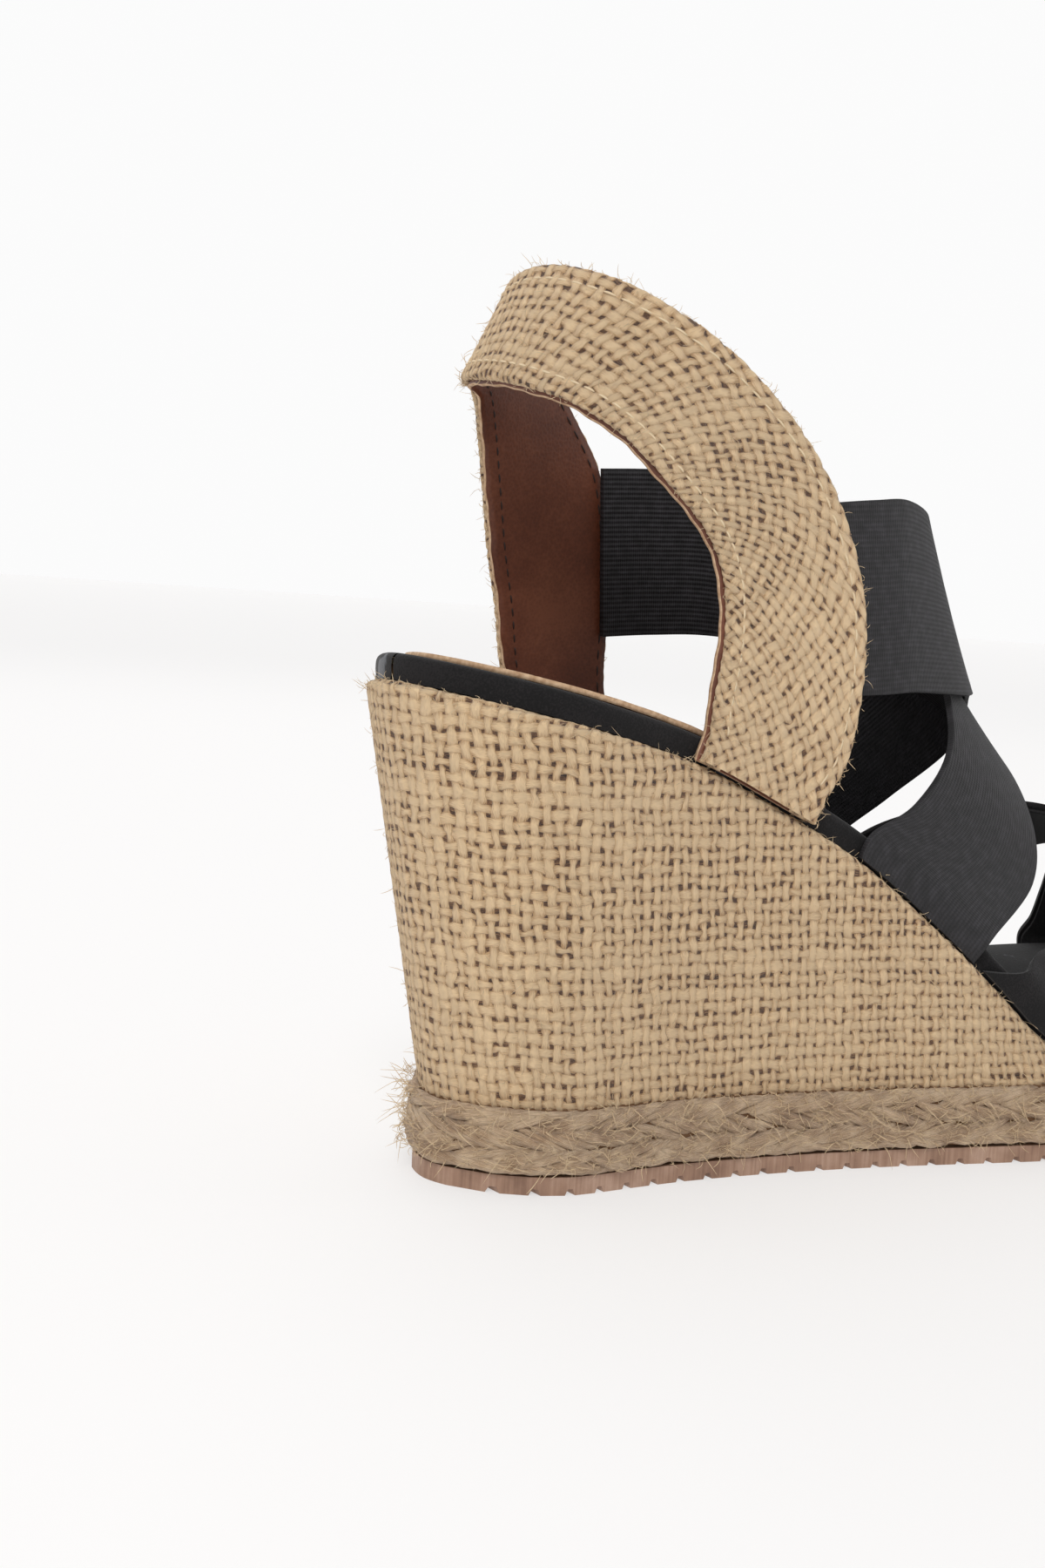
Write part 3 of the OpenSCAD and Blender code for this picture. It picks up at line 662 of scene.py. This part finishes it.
pad = show("heel_pad_leather", skin("heel_pad_leather", 70, 12, pad_place), [leather, raw_edge],
           "heel_pad")
thicken(pad, 1.1, offset=1, rim=1)

# ---- Heel sling ----
# A folded strap of the same burlap, cut in one curve from each side and joined at the back, sewn
# to a brown leather lining. Its ends lap over the wedge's top edge and are glued down. It leans
# forward and back on those ends as the cloth gives.


def seat(side, x0, x1, out, lean, t):
    """Where a strap comes up out of the seam between wedge and insole."""
    x = x0 * (1 - t) + x1 * t
    tall = (INSOLE_HIGH + 0.8) * Vector((-grade(x + lean * t), 0, 1)).normalized()
    high_x = x + lean * t + tall.x
    return [Vector((x, edge_y(TOP, TOP_ENDS, side, x, out), top_z(x) + 0.4)),
            Vector((high_x, edge_y(TOP, TOP_ENDS, side, high_x, out),
                    top_z(x + lean * t) + 0.2 + tall.z))]


class Strap:
    """A strap between two edges, as a grid of points with the way out at each."""

    def __init__(self, first, second, start, end, steps):
        self.lines = [self.line(first, second, start, end, j / 8, steps) for j in range(9)]
        self.n = len(self.lines[0]) - 1
        self.out = [[self.normal(i, j) for i in range(self.n + 1)] for j in range(9)]
        middle = self.lines[4]
        self.run = [0]
        for a, b in zip(middle, middle[1:]):
            self.run.append(self.run[-1] + (b - a).length)

    def line(self, first, second, start, end, t, steps):
        points = seat(*start, t) if start else []
        points += [Vector(a).lerp(Vector(b), t) for a, b in zip(first, second)]
        points += reversed(seat(*end, t))
        last = len(points) - 1
        line = []
        for i in range(last):
            a, b, c, d = (points[min(max(i + k, 0), last)] for k in (-1, 0, 1, 2))
            line += [b + ((c - a) * u + (2 * a - 5 * b + 4 * c - d) * u**2
                          + (3 * b - a - 3 * c + d) * u**3) / 2 for u in (k / steps for k in range(steps))]
        return line + [points[-1]]

    def normal(self, i, j):
        ahead = self.lines[j][min(i + 1, self.n)] - self.lines[j][max(i - 1, 0)]
        return ahead.cross(self.lines[min(j + 1, 8)][i] - self.lines[max(j - 1, 0)][i]).normalized()

    def width(self, i):
        return (self.lines[8][i] - self.lines[0][i]).length

    def at(self, i, t, off=0.0):
        """The point t of the width from the first edge, and off millimetres off the inside."""
        j = min(max(int(t * 8), 0), 7)
        part = t * 8 - j
        point = self.lines[j][i] * (1 - part) + self.lines[j + 1][i] * part
        out = self.out[j][i].lerp(self.out[j + 1][i], min(max(part, 0), 1)).normalized()
        return point + out * off


SLING_FRONT = [(54.5, -30.2, 84), (56.6, -30.3, 100), (55, -30.1, 115), (48, -29.3, 131.5),
               (37.5, -28.3, 144.5), (23.5, -27, 155.5), (11.5, -23.6, 162.8), (2.5, -15.5, 168.3),
               (-0.5, 0, 171.5), (1.5, 14.5, 170), (9, 22, 165.5), (17.5, 26.5, 158.5),
               (27, 28.6, 148.5), (36, 30, 137), (40.5, 31.4, 122), (42, 32, 107), (42.8, 32, 90)]
SLING_REAR = [(20, -30.3, 94), (21.3, -30.4, 105), (20.2, -30.2, 116), (15.8, -29.5, 124.5),
              (8, -28, 132), (0, -25.2, 139.3), (-6, -19.5, 144.3), (-10.5, -10.5, 147.5),
              (-12, 0, 149.3), (-10.5, 10.5, 150), (-6.5, 17.5, 150), (-1.2, 22.4, 148.6),
              (3, 26.4, 141.5), (6.5, 29, 131), (9.7, 30.6, 119), (13, 31.6, 108), (15.6, 32, 96)]
SLING_THICK, SLING_SEAM = 1.8, -0.4
sling = Strap(SLING_FRONT, SLING_REAR, (OUTER, 47, 18.7, SLING_SEAM, 0), (INNER, 44.5, 17, SLING_SEAM, 0),
              18)
BIAS = [(0, 48), (0.12, 42), (0.3, 22), (0.5, 0), (0.7, -22), (0.88, -42), (1, -48)]
flat = [Vector((0, 0))]           # the middle line on the flat cloth
for i in range(sling.n):
    angle = math.radians(along(BIAS, sling.run[i] / sling.run[-1]))
    flat.append(flat[-1] + Vector((math.cos(angle), math.sin(angle))) * (sling.run[i + 1] - sling.run[i]))
TURN_IN = 5                       # how far the folded edges go in behind


def folded(t, width, thick):
    """Across a folded strap's skin: distance from its first edge, off its inside, and way out."""
    r = thick / 2
    flat_part = width - 2 * r
    d = t * (2 * TURN_IN + 2 * math.pi * r + flat_part)
    if d < TURN_IN:
        return r + TURN_IN - d, 0, (0, -1)
    d -= TURN_IN
    if d < math.pi * r:
        angle = d / r
        return r - r * math.sin(angle), r - r * math.cos(angle), (-math.sin(angle), -math.cos(angle))
    d -= math.pi * r
    if d < flat_part:
        return r + d, thick, (0, 1)
    d -= flat_part
    if d < math.pi * r:
        angle = d / r
        return width - r + r * math.sin(angle), r + r * math.cos(angle), (math.sin(angle), math.cos(angle))
    return width - r - (d - math.pi * r), 0, (0, -1)


def sling_cloth(s, t):
    i = round(s * sling.n)
    angle = math.radians(along(BIAS, sling.run[i] / sling.run[-1]))
    width = sling.width(i)
    across = t * (2 * TURN_IN + math.pi * SLING_THICK + width) - TURN_IN - width / 2
    return tuple(flat[i] + Vector((-math.sin(angle), math.cos(angle))) * across)


def sling_place(s, t):
    i = round(s * sling.n)
    width = sling.width(i)
    a, off, way = folded(t, width, SLING_THICK)
    rough = RELIEF * (weave_height(*sling_cloth(s, t)) - 0.8)
    return sling.at(i, (a + way[0] * rough) / width, off + way[1] * rough)


burlap_sling = show("sling_burlap", skin("sling_burlap", sling.n, 72, sling_place, sling_cloth),
                    [burlap], "sling_tab_outer", "sling_tab_inner", "sling_strap", body=None)
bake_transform(burlap_sling)


def lining_place(s, t):
    i = round(s * sling.n)
    width = sling.width(i)
    wave = 0.12 * math.sin(sling.run[i] / 2.7) + 0.1 * math.sin(sling.run[i] / 1.1)
    return sling.at(i, (1.2 + (width - 0.9 + wave) * t) / width, -GAP)


sling_lining = show("sling_lining_leather", skin("sling_lining_leather", sling.n, 16, lining_place),
                    [leather, raw_edge], "tab_lining_outer", "tab_lining_inner", "sling_lining",
                    body=None)
thicken(sling_lining, 0.8, rim=1)
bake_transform(sling_lining)

# Its seams: a row of light thread near each edge of the burlap, and of dark thread on the lining.
light_thread, tree, shader = finish_of("linen_thread", 0.7)
shader.inputs["Base Color"].default_value = linear("#dcc6a4")
dark_thread, tree, shader = finish_of("brown_thread", 0.6)
shader.inputs["Base Color"].default_value = linear("#2c1a12")


def stitch_row(row, strap, inset, off, pitch, length, thick, edge):
    """Stitches along a strap, inset millimetres from its first (0) or second (1) edge."""
    first = 0
    for k in range(int(strap.run[-1] / pitch) - 4):
        middle = (k + 2.5) * pitch
        while strap.run[first + 1] < middle - length / 2:
            first += 1

        def path(a, start=first, middle=middle):
            run = middle + (a - 0.5) * length
            i = start
            while i < strap.n - 1 and strap.run[i + 1] < run:
                i += 1
            part = (run - strap.run[i]) / (strap.run[i + 1] - strap.run[i])
            ends = []
            for k in (i, i + 1):
                width = strap.width(k)
                t = inset / width
                ends.append(strap.at(k, 1 - t if edge else t, off))
            sink = 0.5 * thick * (2 * a - 1) ** 2
            return ends[0].lerp(ends[1], part) - strap.out[4][i] * sink * (1 if off > 0 else -1)

        row.strand(path, thick / 2, 6, 6, length)


for name, off, inset, thread, thick in (("sling_seam", SLING_THICK + 0.15, 3.4, light_thread, 0.5),
                                        ("lining_seam", -1.05, 3.0, dark_thread, 0.42)):
    row = Bundle(name)
    for edge in (0, 1):
        stitch_row(row, sling, inset, off, 3.1, 2.4, thick, edge)
    seam = show(name, row.mesh(), [thread], body=None)
    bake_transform(seam)

# ---- Instep elastics ----
# Woven black elastic, finely ribbed along its length, crossing over the instep from the sling's
# front edges, where it is sewn in under the burlap, to the seam on the other side.
# Woven elastic is charcoal, its tone varying softly, with a painted highlight: the crest of every rib is
# painted a little lighter.
elastic, tree, shader = finish_of("ribbed_elastic", 0.72, IOR=1.5)
band_map = add(tree, "ShaderNodeUVMap", uv_map="cloth").outputs[0]
parts = add(tree, "ShaderNodeSeparateXYZ", {0: band_map})
# Ribs lie 1 mm apart, and the cross threads 0.55 mm.
rib = add(tree, MATH, {0: parts.outputs[1], 1: 2 * math.pi / 1.0}, operation="MULTIPLY")
rib = add(tree, MATH, {0: rib}, operation="SINE")
cross = add(tree, MATH, {0: parts, 1: 2 * math.pi / 0.55}, operation="MULTIPLY")
cross = add(tree, MATH, {0: cross}, operation="SINE")
weave = add(tree, MATH, {0: cross, 1: 0.3, 2: rib}, operation="MULTIPLY_ADD")
soft = add(tree, "ShaderNodeTexNoise", {0: band_map, "Scale": 0.4, "Detail": 3})
# Painted highlight: the ribs and cross threads lighten the colour a little on their crests.
level = add(tree, MATH, {0: weave, 1: 0.1, 2: soft}, operation="MULTIPLY_ADD")
tone = add(tree, "ShaderNodeValToRGB", {0: level},
           stops=[(0.3, "#131214"), (0.55, "#201e21"), (0.75, "#2e2c30")])
tree.links.new(tone.outputs[0], shader.inputs["Base Color"])
bump = add(tree, "ShaderNodeBump", {"Height": weave, "Strength": 0.4, "Distance": 0.0003})
tree.links.new(bump.outputs[0], shader.inputs["Normal"])


def strap_piece(name, strap, off, thick, materials, replaced, body, inset=0.0, rounding=0.3):
    """A plain strap: a sheet on one side of its layer, with a wall and rounded edges."""
    def place(s, t):
        i = round(s * strap.n)
        width = strap.width(i)
        return strap.at(i, (inset + (width - 2 * inset) * t) / width, off)

    def cloth(s, t):
        i = round(s * strap.n)
        return strap.run[i], (t - 0.5) * strap.width(i)

    piece = show(name, skin(name, strap.n, 24, place, cloth), materials, *replaced, body=body)
    thicken(piece, thick, rim=len(materials) - 1, round_by=rounding)
    return piece


ELASTIC_OUT_TOP = [(47, -26.5, 132), (60, -25.6, 133.6), (73, -21.6, 134.5), (89, -11.5, 132),
                   (97, 2, 127), (103, 13.5, 113), (94, 25, 95), (80, 30.5, 78)]
ELASTIC_OUT_LOW = [(54.5, -27.4, 95.5), (66, -27.2, 96), (78, -24.6, 96.5), (103, -14, 95.5),
                   (117.5, -1, 94), (126, 9.5, 82.4), (121, 23, 69), (112, 32, 57)]
ELASTIC_IN_TOP = [(34.5, 27.3, 138), (48, 26, 139), (62, 21.6, 139), (78, 13, 134),
                  (88, 3.5, 125), (94, -5, 113), (96, -13.5, 99), (90, -23, 85), (76.5, -28.5, 74.5)]
ELASTIC_IN_LOW = [(39, 29.4, 103), (52, 29, 104), (66, 26, 104.5), (88, 21, 102.5), (106, 13, 98),
                  (117, 5, 91), (125, -6, 80), (124.5, -16.5, 67), (115.5, -25.5, 56),
                  (100.5, -33, 46)]
outer_elastic = Strap(ELASTIC_OUT_LOW, ELASTIC_OUT_TOP, None, (INNER, 97, 66, -1.6, 0), 10)
inner_elastic = Strap(ELASTIC_IN_TOP, ELASTIC_IN_LOW, None, (OUTER, 60, 90, -1.6, 0), 10)
for name, strap, node, start, end in (
        ("elastic_outer", outer_elastic, "instep_elastic_outer",
         (0.112, 0.03, 0.062), (0.052, -0.027, 0.114)),
        ("elastic_inner", inner_elastic, "instep_elastic_inner",
         (0.100, -0.03, 0.052), (0.040, 0.028, 0.120))):
    band = strap_piece(name, strap, 1.4, 1.4, [elastic], [node], None)
    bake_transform(band)
    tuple(start)
    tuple(end)

# ---- Toe bands ----
# Two bands of black suede with a thin lining, crossed over the toes and held in the seam under
# the insole.
# Cotton lining is matt black, with barely any weave to be seen.
woven, tree, shader = finish_of("black_cotton_lining", 0.85)
place = add(tree, "ShaderNodeTexCoord").outputs["Object"]
threads = add(tree, "ShaderNodeTexNoise", {0: place, "Scale": 1800, "Detail": 2})
tone = add(tree, "ShaderNodeValToRGB", {0: threads},
           stops=[(0.3, "#0f0e0f"), (0.7, "#222021")])
tree.links.new(tone.outputs[0], shader.inputs["Base Color"])
BAND_OUT_REAR = [(109, -34.3, 42), (120, -29.5, 43.5), (132, -22.5, 49), (145, -11, 55.5),
                 (156, 1, 57), (166, 12, 53), (173.5, 20, 46), (177, 25.5, 38)]
BAND_OUT_FRONT = [(148, -41, 35), (158, -33, 42), (167, -22, 47.5), (174.5, -9, 50),
                  (180, 3, 49.5), (184, 12, 46), (186.5, 17, 41), (187.5, 19.5, 35)]
BAND_IN_REAR = [(112, 35.5, 49), (124, 31, 60), (138, 21, 66.5), (147, 10, 69),
                (153, -2, 68), (158, -15, 62.5), (163, -26.5, 53), (166, -34, 41)]
BAND_IN_FRONT = [(152, 38, 39), (160, 31.5, 49), (167, 21.5, 57), (173, 9.5, 60.5),
                 (178, -3, 59), (181.5, -13.5, 53.5), (184, -20.5, 45), (184.5, -22.5, 37)]
toe_outer = Strap(BAND_OUT_FRONT, BAND_OUT_REAR, (OUTER, 142, 92, -0.4, 6), (INNER, 188, 178, -0.4, 0), 10)
toe_inner = Strap(BAND_IN_REAR, BAND_IN_FRONT, (INNER, 104, 147, -0.4, 0), (OUTER, 167, 184, -0.4, 0), 10)
for side, strap in (("outer", toe_outer), ("inner", toe_inner)):
    strap_piece("toe_band_suede_" + side, strap, 1.3, 1.3, [suede], ["toe_band_" + side], "shoe")
    strap_piece("toe_band_lining_" + side, strap, -0.2, 0.8, [woven], ["toe_lining_" + side], "shoe",
                inset=0.8, rounding=0.2)

# ---- Loose fibres ----
# Jute sheds: short hairs of it stand out all over the braid and the burlap, most of all along
# their edges and folds.
# A single jute hair is pale and a little glossy.
hair, tree, shader = finish_of("loose_jute_fibre", 0.7)
shader.inputs["Base Color"].default_value = linear("#d9c09c")


def hair_at(bundle, root, out, reach, thick):
    """A curled hair from root, standing out by reach."""
    wander = [Vector((chance.uniform(-1, 1), chance.uniform(-1, 1), chance.uniform(-1, 1)))
              for _ in range(2)]
    tip = root + (out * 0.8 + wander[0]) * reach
    bend = root + (out * 0.9 + wander[1] * 0.8) * reach * 0.6

    def path(a):
        return root * (1 - a) ** 2 + bend * 2 * a * (1 - a) + tip * a * a

    bundle.strand(path, thick, 3, 5, 2 * reach)


def braid_hairs(bundle):
    for k in range(4200):
        p, z = chance.uniform(0, braid_run), chance.uniform(4.6, 17.4)
        root = braid_place(p, 2.2, z)
        out = (braid_place(p, 3.2, z) - root).normalized()
        hair_at(bundle, root, out * 0.5, chance.uniform(1.2, 4.5), chance.uniform(0.05, 0.1))


def cover_hairs(bundle):
    for k in range(2600):
        s = chance.random()
        t = WALL + CURVE * chance.random() if k % 3 == 0 else WALL * chance.random()
        s = round(s * COVER_COLUMNS) / COVER_COLUMNS
        root = cover_place(s, t)
        out = -cover_columns[round(s * COVER_COLUMNS)][3]
        hair_at(bundle, root, out * 0.4, chance.uniform(0.8, 2.8), chance.uniform(0.04, 0.08))


def sling_hairs(bundle):
    for k in range(1500):
        i = chance.randrange(sling.n)
        t = chance.choice((0, 1)) if k % 2 else chance.random()
        root = sling.at(i, t, SLING_THICK * (0.5 if t in (0, 1) else 1))
        out = sling.out[4][i]
        hair_at(bundle, root, out * 0.5, chance.uniform(0.7, 2.2), chance.uniform(0.04, 0.08))


for name, grow, moving in (("braid_hairs", braid_hairs, False), ("cover_hairs", cover_hairs, False),
                           ("sling_hairs", sling_hairs, True)):
    bundle = Bundle(name)
    grow(bundle)
    fuzz = show(name, bundle.mesh(), [hair], body=None if moving else "shoe")
    if moving:
        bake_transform(fuzz)
